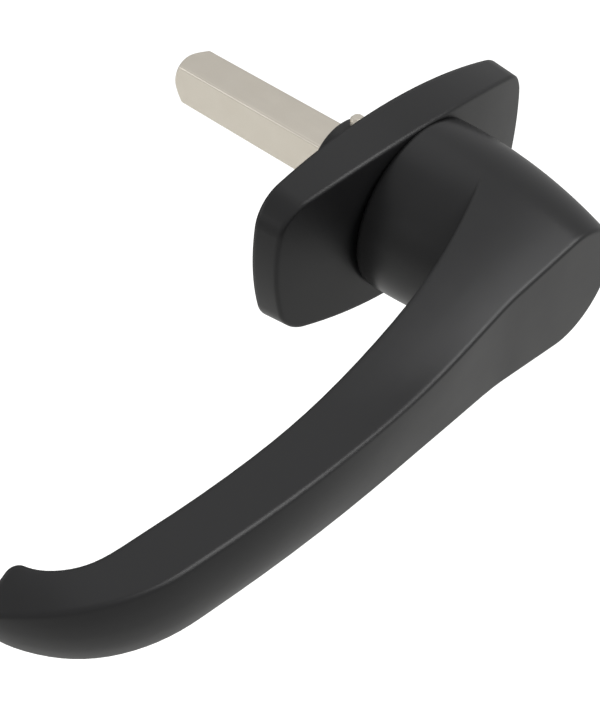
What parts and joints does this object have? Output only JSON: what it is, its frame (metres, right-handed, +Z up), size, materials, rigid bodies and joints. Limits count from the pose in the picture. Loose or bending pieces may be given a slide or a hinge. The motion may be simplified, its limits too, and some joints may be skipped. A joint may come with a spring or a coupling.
{
  "type": "lever handle",
  "caption": "Black L-shaped lever handle with a hooked tip on an oblong plate, turning a square spindle that works a latch.",
  "frame": {"origin": "where the spindle's axis meets the plate's back face, midway between the two fixing holes", "axes": "+Y along the spindle into the door, the lever points along -X, +Z up"},
  "size_m": [0.1283, 0.091, 0.0332],
  "materials": {
    "black_powder_coat": "satin black powder coat",
    "nickel_plated_steel": "satin nickel plate",
    "bush_plastic": "matte black acetal",
    "spring_steel": "plain bright steel"
  },
  "bodies": {
    "plate": {"escutcheon_plate": "black_powder_coat", "bearing_bush": "bush_plastic", "disc_spring": "spring_steel", "pressure_washer": "spring_steel"},
    "lever": {"lever_handle": "black_powder_coat", "square_spindle": "nickel_plated_steel", "cross_pin": "nickel_plated_steel"}
  },
  "joints": [
    {"name": "lever_turn", "type": "hinge", "parent": "plate", "child": "lever", "pos_m": [0, 0, 0], "axis": [0, -1, 0], "range_deg": [0, 90]}
  ]
}
